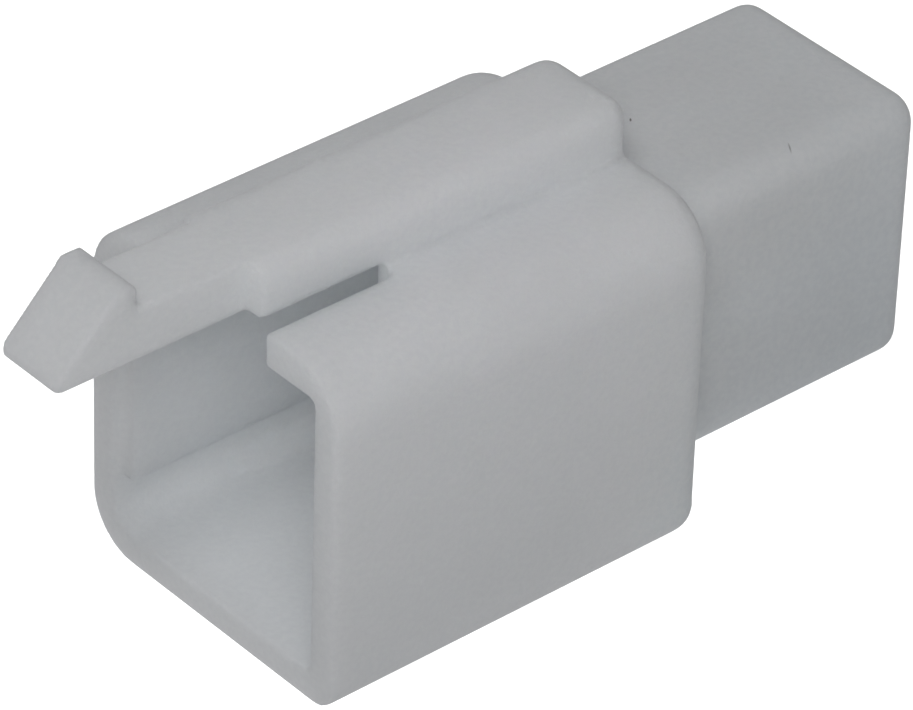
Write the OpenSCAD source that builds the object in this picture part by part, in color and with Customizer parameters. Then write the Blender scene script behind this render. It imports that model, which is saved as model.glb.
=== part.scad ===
// Hooded connector housing for four tab terminals, moulded in one piece.
// The mouth of the hood faces -Y, the wires leave towards +Y, and the
// latch stands on the roof. The origin is under the middle of the part.

/* [Hood] */
// Width of the hood across its side walls
hood_w = 14.6; // [12:0.1:20]
// Height of the hood from its flat base to its roof
hood_h = 15.4; // [13.5:0.1:20]
// Length of the hood from the mouth to its rear shoulder
hood_l = 18.9; // [16:0.1:30]
// Depth of the socket, from the mouth to the dividing wall
socket_depth = 13.5; // [10:0.1:15]
// Thickness of the two side walls and the floor
wall = 1.4; // [0.8:0.05:1.8]
// Thickness of the roof
roof = 1.5; // [0.8:0.05:1.8]
// Outer corner radius of both roof edges
roof_r = 2.8; // [1:0.1:3]
// Outer radius of the large, keyed floor corner
key_r = 2.45; // [1:0.05:3.5]
// Outer radius of the small floor corner
plain_r = 1.25; // [0.4:0.05:2.5]
// Rounding of the hood's rear shoulder
shoulder_r = 1.3; // [0.3:0.05:2]
// Rounding of the outer edges round the mouth
lip_r = 0.15; // [0.05:0.05:0.5]

/* [Key rail] */
// How far the key rail stands off the left wall
rail_t = 0.75; // [0.4:0.05:1]
// Height of the rail's lower edge above the base
rail_z = 3.6; // [2.5:0.1:7]

/* [Latch] */
// Width of the latch arm and of the rib that carries it
arm_w = 5; // [4:0.1:6]
// Thickness of the latch arm
arm_t = 2.3; // [1.5:0.05:2.5]
// Gap between the level of the roof and the underside of the arm
arm_lift = 0.05; // [0.05:0.05:0.5]
// Rounding of the upper edges of the arm and of the rib's rear end
arm_r = 1; // [0.3:0.05:1.2]
// Clearance on each side of the arm in the roof's window
arm_gap = 0.55; // [0.35:0.05:0.8]
// How far the arm and the key rail stand back behind the mouth
setback = 0.4; // [0.1:0.05:1.5]
// Length of the window in the roof, from the mouth
window_l = 6.3; // [4:0.1:9]
// Rounding of the window's rear corners
window_r = 0.6; // [0.2:0.05:0.7]
// Width of the channel that runs on under the rib
channel_w = 3.8; // [2:0.1:3.9]
// Width of the nose in front of the mouth
nose_w = 3.4; // [2:0.1:3.8]
// Length of the nose from the mouth to its tip
nose_l = 8.5; // [7:0.1:12]
// Height of the catch above the arm
catch_h = 1.1; // [0.6:0.05:2]
// Length of the flat top of the catch
catch_top = 1; // [0.6:0.05:1.2]
// Length of the ramp in front of the catch
ramp_l = 2.7; // [2:0.1:4.5]
// Height of the blunt front of the nose
nose_tip_h = 0.65; // [0.6:0.05:1]
// Rounding of the edges of the nose and the catch
nose_r = 0.25; // [0.1:0.05:0.3]
// Distance of the rib's rear end in front of the hood's shoulder
rib_back = 0.3; // [0.1:0.1:2]

/* [Wire block] */
// Width of the block behind the hood
block_w = 10.2; // [9.6:0.1:13]
// Height of the block behind the hood
block_h = 12.2; // [11.6:0.1:14]
// Length of the block behind the hood
block_l = 12.6; // [8:0.1:20]
// Height of the block's underside above the base
block_z = 1.75; // [0.2:0.05:3]
// Radius of the block's long edges
block_r = 1.2; // [0.3:0.05:1.5]
// Rounding of the block's rear edges
block_end_r = 0.85; // [0.2:0.05:1.2]

/* [Terminal cavities] */
// Width of a cavity where the wire enters
cavity_w = 3.5; // [3:0.05:3.6]
// Height of a cavity where the wire enters
cavity_h = 4.4; // [3.6:0.05:4.5]
// Centre distance of the two columns
pitch_x = 4.5; // [4.2:0.05:5]
// Centre distance of the two rows
pitch_z = 5.5; // [5.2:0.05:6]
// Length of the narrower locking stage behind the dividing wall
lock_l = 4.6; // [2:0.1:7]
// Step of the locking stage on every side
lock_step = 0.35; // [0.1:0.05:0.5]
// Thickness of the wall that the tabs pass through
front_wall = 1.1; // [0.6:0.05:1.5]
// Width of the opening for a tab
tab_w = 2.6; // [2:0.05:2.8]
// Height of the opening for a tab
tab_h = 1.3; // [0.9:0.05:2]
// Width of the lead-in step round a wire opening
lead_in = 0.25; // [0.1:0.05:0.3]

/* [Hidden] */
$fn = 64;
eps = 0.01;
// Radius of an inner corner under an outer one
function inner_r(outer) = max(0.25, outer - wall);
inner_w = hood_w - 2 * wall;
roof_under = hood_h - roof;
arm_under = hood_h + arm_lift;
arm_top = arm_under + arm_t;
rib_end = hood_l - rib_back;
part_end = hood_l + block_l;
// Moves the mouth from y = 0 to its place about the middle of the part
shift_y = (nose_l - part_end) / 2;
cavity_mid = block_z + block_h / 2;
// Long edges that would leave the block narrower than its end rounding
block_edge = max(block_r, block_end_r);

// Side profile of a moulded wall: depth inwards along X, length along Y,
// rounded at the outer edge by r0 in front and by r1 at the rear
module wall_profile(depth, length, r0, r1) {
    intersection() {
        square([depth, length]);
        union() {
            difference() {
                square([depth, length]);
                translate([depth - r0, -eps]) square([r0 + eps, r0 + eps]);
                translate([depth - r1, length - r1]) square([r1 + eps, r1 + eps]);
            }
            translate([depth - r0, r0]) circle(r0);
            translate([depth - r1, length - r1]) circle(r1);
        }
    }
}

// Block along +Y with its base on z = 0, its four long edges rounded by
// r = [floor left, floor right, roof right, roof left] and its front and
// rear edges by r0 and r1, the same round the straights and the corners
module soft_block(w, h, length, r, r0, r1) {
    x = [-w / 2 + r[0], w / 2 - r[1], w / 2 - r[2], -w / 2 + r[3]];
    z = [r[0], r[1], h - r[2], h - r[3]];
    for (i = [0:3])
        translate([x[i], 0, z[i]]) rotate([-90, 0, 0])
            rotate_extrude()
                wall_profile(r[i], length, min(r0, r[i]), min(r1, r[i]));
    // left and right sides, then floor and roof
    translate([0, 0, z[0]]) linear_extrude(z[3] - z[0])
        mirror([1, 0]) wall_profile(w / 2, length, r0, r1);
    translate([0, 0, z[1]]) linear_extrude(z[2] - z[1])
        wall_profile(w / 2, length, r0, r1);
    translate([x[0], 0, h / 2]) rotate([0, 90, 0]) linear_extrude(x[1] - x[0])
        wall_profile(h / 2, length, r0, r1);
    translate([x[3], 0, h / 2]) rotate([0, 90, 0]) linear_extrude(x[2] - x[3])
        mirror([1, 0]) wall_profile(h / 2, length, r0, r1);
}

// Flat rectangle on z = 0, centred in X, with its own radius at each corner
module round_rect(w, h, r) {
    x = [-w / 2 + r[0], w / 2 - r[1], w / 2 - r[2], -w / 2 + r[3]];
    y = [r[0], r[1], h - r[2], h - r[3]];
    sx = [-1, 1, 1, -1];
    sy = [-1, -1, 1, 1];
    difference() {
        translate([-w / 2, 0]) square([w, h]);
        for (i = [0:3])
            translate([x[i] + sx[i] * (r[i] + eps) / 2, y[i] + sy[i] * (r[i] + eps) / 2])
                square(r[i] + eps, center = true);
    }
    for (i = [0:3]) translate([x[i], y[i]]) circle(r[i]);
}

// Stands a flat outline up in XZ and runs it from y = from to y = to
module along_y(from, to) {
    translate([0, to, 0]) rotate([90, 0, 0]) linear_extrude(to - from) children();
}

module hood() {
    soft_block(hood_w, hood_h, hood_l, [key_r, plain_r, roof_r, roof_r], lip_r, shoulder_r);
}

module socket() {
    translate([0, 0, wall])
        along_y(-1, socket_depth)
            round_rect(inner_w, roof_under - wall,
                [inner_r(key_r), inner_r(0), inner_r(0), inner_r(roof_r)]);
}

// Rail on the left wall, which keeps the wrong plug out
module key_rail() {
    translate([-inner_w / 2 - eps, setback, rail_z])
        cube([rail_t + eps, socket_depth - setback + eps, roof_under - rail_z + eps]);
}

// Window that frees the arm, and the channel that goes on under the rib
module latch_room() {
    window_w = arm_w + 2 * arm_gap;
    translate([0, -1, roof_under - eps]) linear_extrude(roof + 1)
        round_rect(window_w, window_l + 1, [0.1, 0.1, window_r, window_r]);
    translate([-channel_w / 2, -1, roof_under - eps])
        cube([channel_w, socket_depth + 1, arm_under - roof_under + eps]);
}

// Rib behind the window, rounded along its top and round its rear end,
// which comes down on the shoulder of the hood
module rib() {
    foot = hood_h - shoulder_r - arm_r;
    translate([0, window_l, foot])
        soft_block(arm_w, arm_top - foot, rib_end - window_l, [arm_r, arm_r, arm_r, arm_r], 0.1, arm_r);
}

// Free arm over the window, in one line with the rib
module arm() {
    translate([0, 0, arm_under])
        along_y(setback, window_l + arm_r) round_rect(arm_w, arm_t, [0.15, 0.15, arm_r, arm_r]);
}

// Nose in front of the mouth, with its ramp and its catch
module nose() {
    heel = ramp_l + catch_top;
    translate([0, -nose_l, arm_under]) {
        intersection() {
            translate([-nose_w / 2, 0, 0]) rotate([90, 0, 90]) linear_extrude(nose_w)
                hull() {
                    translate([nose_r, nose_r]) circle(nose_r);
                    translate([nose_r, nose_tip_h - nose_r]) circle(nose_r);
                    translate([ramp_l + nose_r, arm_t + catch_h - nose_r]) circle(nose_r);
                    translate([heel - nose_r, arm_t + catch_h - nose_r]) circle(nose_r);
                    translate([heel - 1, 0]) square(1);
                }
            along_y(0, heel)
                round_rect(nose_w, arm_t + catch_h, [nose_r, nose_r, nose_r, nose_r]);
            linear_extrude(arm_t + catch_h)
                round_rect(nose_w, heel + 1, [nose_r, nose_r, 0.1, 0.1]);
        }
        along_y(heel - 0.5, nose_l + setback + 0.5)
            round_rect(nose_w, arm_t, [nose_r, nose_r, nose_r, nose_r]);
    }
}

module wire_block() {
    overlap = hood_l - socket_depth - shoulder_r;
    translate([0, hood_l - overlap, block_z])
        soft_block(block_w, block_h, block_l + overlap,
            [block_edge, block_edge, block_edge, block_edge], 0.1, block_end_r);
}

// One terminal cavity, from the tab's opening back to the wire's
module cavity() {
    lock_w = cavity_w - 2 * lock_step;
    lock_h = cavity_h - 2 * lock_step;
    translate([-tab_w / 2, socket_depth - 1, -tab_h / 2])
        cube([tab_w, front_wall + 2, tab_h]);
    translate([-lock_w / 2, socket_depth + front_wall, -lock_h / 2])
        cube([lock_w, lock_l + eps, lock_h]);
    translate([0, 0, -cavity_h / 2])
        along_y(socket_depth + front_wall + lock_l, part_end + 1)
            round_rect(cavity_w, cavity_h, [0.3, 0.3, 0.3, 0.3]);
    translate([0, 0, -cavity_h / 2 - lead_in])
        along_y(part_end - lead_in, part_end + 1)
            round_rect(cavity_w + 2 * lead_in, cavity_h + 2 * lead_in, [0.4, 0.4, 0.4, 0.4]);
}

module housing() {
    color("gainsboro")
        translate([0, shift_y, 0])
            difference() {
                union() {
                    difference() {
                        union() {
                            hood();
                            rib();
                        }
                        socket();
                        latch_room();
                    }
                    key_rail();
                    arm();
                    nose();
                    wire_block();
                }
                for (i = [-1, 1], j = [-1, 1])
                    translate([i * pitch_x / 2, 0, cavity_mid + j * pitch_z / 2]) cavity();
            }
}

housing();
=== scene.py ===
import math

import bmesh
import bpy
from mathutils import Euler, Matrix, Vector


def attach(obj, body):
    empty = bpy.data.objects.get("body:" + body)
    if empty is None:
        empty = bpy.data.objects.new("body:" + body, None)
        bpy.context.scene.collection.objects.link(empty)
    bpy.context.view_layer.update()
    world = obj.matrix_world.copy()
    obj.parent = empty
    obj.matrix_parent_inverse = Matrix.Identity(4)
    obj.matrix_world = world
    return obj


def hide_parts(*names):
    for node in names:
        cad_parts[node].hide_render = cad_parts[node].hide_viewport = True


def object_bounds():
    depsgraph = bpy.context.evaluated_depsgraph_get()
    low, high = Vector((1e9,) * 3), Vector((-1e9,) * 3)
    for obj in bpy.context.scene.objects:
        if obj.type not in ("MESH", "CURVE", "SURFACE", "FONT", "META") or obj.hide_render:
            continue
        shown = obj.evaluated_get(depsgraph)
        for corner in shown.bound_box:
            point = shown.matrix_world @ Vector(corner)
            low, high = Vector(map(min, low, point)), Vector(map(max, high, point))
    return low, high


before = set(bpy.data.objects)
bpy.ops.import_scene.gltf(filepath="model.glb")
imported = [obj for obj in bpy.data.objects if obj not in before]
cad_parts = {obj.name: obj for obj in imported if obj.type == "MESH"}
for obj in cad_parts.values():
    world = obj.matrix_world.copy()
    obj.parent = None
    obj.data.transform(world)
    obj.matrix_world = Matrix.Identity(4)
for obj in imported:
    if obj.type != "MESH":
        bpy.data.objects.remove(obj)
cad_low, cad_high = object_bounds()
MM = 0.001

# Camera. A long lens looks down on the mouth of the hood from its right,
# a little over a third of a right angle above the table, and is tilted by
# two degrees.
middle = (Vector(cad_low) + Vector(cad_high)) / 2
aim = middle + Vector((0.95, -0.20, -1.19)) * MM
view_azimuth = math.radians(48.37)
view_elevation = math.radians(35.49)
view_roll = math.radians(1.98)
view_distance = 249.6 * MM

camera_data = bpy.data.cameras.new("camera")
camera_data.sensor_width = 36.0
camera_data.lens = 256.9
camera_data.clip_start = 0.01
camera_data.clip_end = 20.0
camera = bpy.data.objects.new("camera", camera_data)
bpy.context.scene.collection.objects.link(camera)
bpy.context.scene.camera = camera
view_turn = (
    Matrix.Rotation(view_azimuth, 4, "Z")
    @ Matrix.Rotation(math.pi / 2 - view_elevation, 4, "X")
    @ Matrix.Rotation(view_roll, 4, "Z")
)
step_back = Matrix.Translation((0, 0, view_distance))
camera.matrix_world = Matrix.Translation(aim) @ view_turn @ step_back


# Table. A plain white sheet, lit evenly, that runs on far past the housing
# on every side, so that no shadow or edge shows round it.
table_reach = 3.0

table_form = bmesh.new()
bmesh.ops.create_grid(table_form, x_segments=1, y_segments=1, size=table_reach)
table_mesh = bpy.data.meshes.new("table")
table_form.to_mesh(table_mesh)
table_form.free()
table = bpy.data.objects.new("table", table_mesh)
bpy.context.scene.collection.objects.link(table)
table_white = bpy.data.materials.new("table_white")
table_white.use_nodes = True
table_shader = table_white.node_tree.nodes["Principled BSDF"]
table_shader.inputs["Base Color"].default_value = (0.9, 0.9, 0.9, 1.0)
table_shader.inputs["Roughness"].default_value = 0.9
table_shader.inputs["Emission Color"].default_value = (1.0, 1.0, 1.0, 1.0)
table_shader.inputs["Emission Strength"].default_value = 1.0
table_mesh.materials.append(table_white)
table.visible_diffuse = False
table.visible_glossy = False
table.visible_transmission = False


# Light. The housing stands in a white tent whose sides glow by different
# amounts. A large soft box stands at the lens, two hang higher up to its left
# and right, one stands low at the right, and a narrow one lifts the roof.
cool_white = (0.987, 1.0, 1.023)


class Thread:
    """A shader socket that sums and products can be written with."""

    def __init__(self, tree, socket=None):
        self.tree = tree
        self.socket = socket

    def node(self, kind, settings, sockets, output=0):
        made = self.tree.nodes.new(kind)
        for name, value in settings.items():
            if name == "stops":
                ramp = made.color_ramp
                while len(ramp.elements) < len(value):
                    ramp.elements.new(0.5)
                for element, (position, colour) in zip(ramp.elements, value):
                    element.position = position
                    element.color = colour
            else:
                setattr(made, name, value)
        for name, value in sockets.items():
            if isinstance(value, Thread):
                self.tree.links.new(value.socket, made.inputs[name])
            else:
                made.inputs[name].default_value = value
        return Thread(self.tree, made.outputs[output])

    def math(self, operation, first, second=0.0, clamp=False):
        settings = {"operation": operation, "use_clamp": clamp}
        return self.node("ShaderNodeMath", settings, {0: first, 1: second})

    def __add__(self, other):
        return self.math("ADD", self, other)

    __radd__ = __add__

    def __sub__(self, other):
        return self.math("SUBTRACT", self, other)

    def __rsub__(self, other):
        return self.math("SUBTRACT", other, self)

    def __mul__(self, other):
        return self.math("MULTIPLY", self, other)

    __rmul__ = __mul__

    def __abs__(self):
        return self.math("ABSOLUTE", self)

    def within_unit(self):
        return self.math("ADD", self, 0.0, clamp=True)


tent = bpy.data.worlds.new("tent")
bpy.context.scene.world = tent
tent.use_nodes = True
tent_tree = tent.node_tree
direction = Thread(tent_tree).node("ShaderNodeTexCoord", {}, {}, "Generated")
across, along, upward = (
    direction.node("ShaderNodeSeparateXYZ", {}, {"Vector": direction}, side)
    for side in ("X", "Y", "Z")
)
# Glow of the two sides that each direction joins: the one it points to,
# then the one behind it.
tent_sides = ((across, 0.035, 0.42), (along, 0.20, 0.04), (upward, 0.0, 0.60))
glow = 0.0
for way, ahead, behind in tent_sides:
    glow = glow + abs(way) * ((ahead + behind) / 2) + way * ((ahead - behind) / 2)
tent_light = tent_tree.nodes["Background"]
tent_light.inputs["Color"].default_value = (*cool_white, 1.0)
tent_tree.links.new(glow.socket, tent_light.inputs["Strength"])


def soft_box(name, azimuth, elevation, distance, size, power, spread=180.0, lift=0.0):
    """A round soft box turned to the housing: degrees, metres and watts."""
    light_data = bpy.data.lights.new(name, "AREA")
    light_data.shape = "DISK"
    light_data.size = size
    light_data.energy = power
    light_data.color = cool_white
    light_data.spread = math.radians(spread)
    light = bpy.data.objects.new(name, light_data)
    bpy.context.scene.collection.objects.link(light)
    light.visible_camera = False
    turn = Euler((math.pi / 2 - math.radians(elevation), 0, math.radians(azimuth)))
    target = Matrix.Translation(middle + Vector((0, 0, lift)))
    away = Matrix.Translation((0, 0, distance))
    light.matrix_world = target @ turn.to_matrix().to_4x4() @ away


soft_box("lens_box", 48, 35, 0.33, 0.10, 0.160)
soft_box("left_box", 30, 55, 0.25, 0.06, 0.079)
soft_box("right_box", 60, 45, 0.25, 0.06, 0.043)
soft_box("rear_box", 108, 25, 0.07, 0.04, 0.0018)
soft_box("pool_box", 48, 35, 0.25, 0.02, 0.00013, spread=7.0, lift=4 * MM)
bpy.context.scene.view_settings.view_transform = "Standard"


# Housing. One injection moulding of natural nylon: the hood, the latch arm
# on its rib, and the block for the wires. Its edges run into each other with
# soft radii, and its walls let light through.
voxel = 0.15 * MM
edge_rounds = 4
edge_pull = 0.5
kept_share = 0.48
weld_reach = 1e-6

housing_form = bmesh.new()
housing_form.from_mesh(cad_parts["housing"].data)
bmesh.ops.remove_doubles(housing_form, verts=housing_form.verts, dist=weld_reach)
housing_mesh = bpy.data.meshes.new("moulded_housing")
housing_form.to_mesh(housing_mesh)
housing_form.free()
housing = bpy.data.objects.new("moulded_housing", housing_mesh)
bpy.context.scene.collection.objects.link(housing)
melt = housing.modifiers.new("melt", "REMESH")
melt.mode = "VOXEL"
melt.voxel_size = voxel
melt.use_smooth_shade = True
soften = housing.modifiers.new("soften", "SMOOTH")
soften.factor = edge_pull
soften.iterations = edge_rounds
thin_out = housing.modifiers.new("thin_out", "DECIMATE")
thin_out.ratio = kept_share

light_depth = 2.0 * MM
nylon = bpy.data.materials.new("natural_nylon")
nylon.use_nodes = True
nylon_tree = nylon.node_tree
nylon_shader = nylon_tree.nodes["Principled BSDF"]
nylon_shader.inputs["Subsurface Weight"].default_value = 1.0
nylon_shader.inputs["Subsurface Radius"].default_value = (1.0, 1.0, 1.0)
nylon_shader.inputs["Subsurface Scale"].default_value = light_depth
nylon_shader.inputs["IOR"].default_value = 1.45
nylon_shader.inputs["Specular IOR Level"].default_value = 0.35

place = Thread(nylon_tree).node("ShaderNodeTexCoord", {}, {}, "Object")


def cloud(grain, detail, stretch=(1.0, 1.0, 1.0)):
    """Noise about zero whose lumps are grain millimetres across."""
    stretched = place.node("ShaderNodeMapping", {}, {"Vector": place, "Scale": stretch})
    lumps = place.node(
        "ShaderNodeTexNoise",
        {},
        {"Vector": stretched, "Scale": 1 / (grain * MM), "Detail": detail},
    )
    return lumps - 0.5


def speck(centre, turn, reach):
    """A dot or dash of burnt resin, solid to half its reach, gone by 1.5 of it."""
    local = place.node(
        "ShaderNodeMapping",
        {"vector_type": "TEXTURE"},
        {
            "Vector": place,
            "Location": [c * MM for c in centre],
            "Rotation": (0.0, 0.0, math.radians(turn)),
            "Scale": [r * MM for r in reach],
        },
    )
    away = place.node("ShaderNodeVectorMath", {"operation": "LENGTH"}, {0: local}, "Value")
    return (1.5 - away).within_unit()


def mixed(factor, under, over, blend="MIX"):
    """The colour under, with the colour over laid on it by factor."""
    first_colour, second_colour, colour_result = 6, 7, 2
    return place.node(
        "ShaderNodeMix",
        {"data_type": "RGBA", "blend_type": blend},
        {"Factor": factor, first_colour: under, second_colour: over},
        colour_result,
    )


# The melt flowed from the rear to the mouth, which leaves long faint
# streaks in the milky colour, over a cloudy ground with a fine grain.
ground = cloud(2.4, 2.0) * 0.9
streaks = cloud(0.5, 1.0, (1.0, 0.12, 1.0)) * 0.5
grains = cloud(0.28, 2.0) * 3.6
milk_dark = (0.903, 0.938, 0.960, 1.0)
milk_pale = (0.944, 0.979, 0.994, 1.0)
milk = 0.5 + ground + streaks + grains
body_colour = place.node(
    "ShaderNodeValToRGB",
    {"stops": ((0.0, milk_dark), (1.0, milk_pale))},
    {"Fac": milk.within_unit()},
)
# Painted shade: towards the rear of the wire block, and low down, the milk is multiplied
# greyer, standing in for the light that falls off there.
painted_shade_start = 3 * MM
painted_shade_reach = 16 * MM
painted_shade_grey = (0.79, 0.79, 0.79, 1.0)
rearward, height = (
    place.node("ShaderNodeSeparateXYZ", {}, {"Vector": place}, side)
    for side in ("Y", "Z")
)
painted_shade_rearward = ((rearward - painted_shade_start) * (1 / painted_shade_reach)).within_unit()
painted_shade_low = (1 - height * (1 / painted_shade_reach)).within_unit()
# Painted shade: the body colour multiplied by grey towards the rear and low down.
body_with_painted_shade = mixed(painted_shade_rearward * painted_shade_low, body_colour, painted_shade_grey, "MULTIPLY")
# A dot and a fainter dash of burnt resin lie on top of the wire block.
dot = speck((-0.83, 9.99, 13.95), -40, (0.10, 0.035, 0.2))
dash = speck((4.38, 13.62, 13.95), -27, (0.24, 0.035, 0.2)) * 0.6
burnt_brown = (0.16, 0.15, 0.14, 1.0)
nylon_colour = mixed((dot + dash).within_unit(), body_with_painted_shade, burnt_brown)
nylon_tree.links.new(nylon_colour.socket, nylon_shader.inputs["Base Color"])
satin = 0.52 + cloud(1.1, 2.0) * 0.16
nylon_tree.links.new(satin.socket, nylon_shader.inputs["Roughness"])
# The mould was spark eroded, so its skin is finely pitted, and the walls
# sink in a little between their corners.
pits = cloud(0.11, 2.0) * 0.010
sinks = cloud(3.0, 0.0) * 0.05
skin = pits + sinks
nylon_normal = place.node(
    "ShaderNodeBump", {}, {"Strength": 1.0, "Distance": MM, "Height": skin}
)
nylon_tree.links.new(nylon_normal.socket, nylon_shader.inputs["Normal"])

housing_mesh.materials.append(nylon)
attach(housing, "root")
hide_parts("housing")
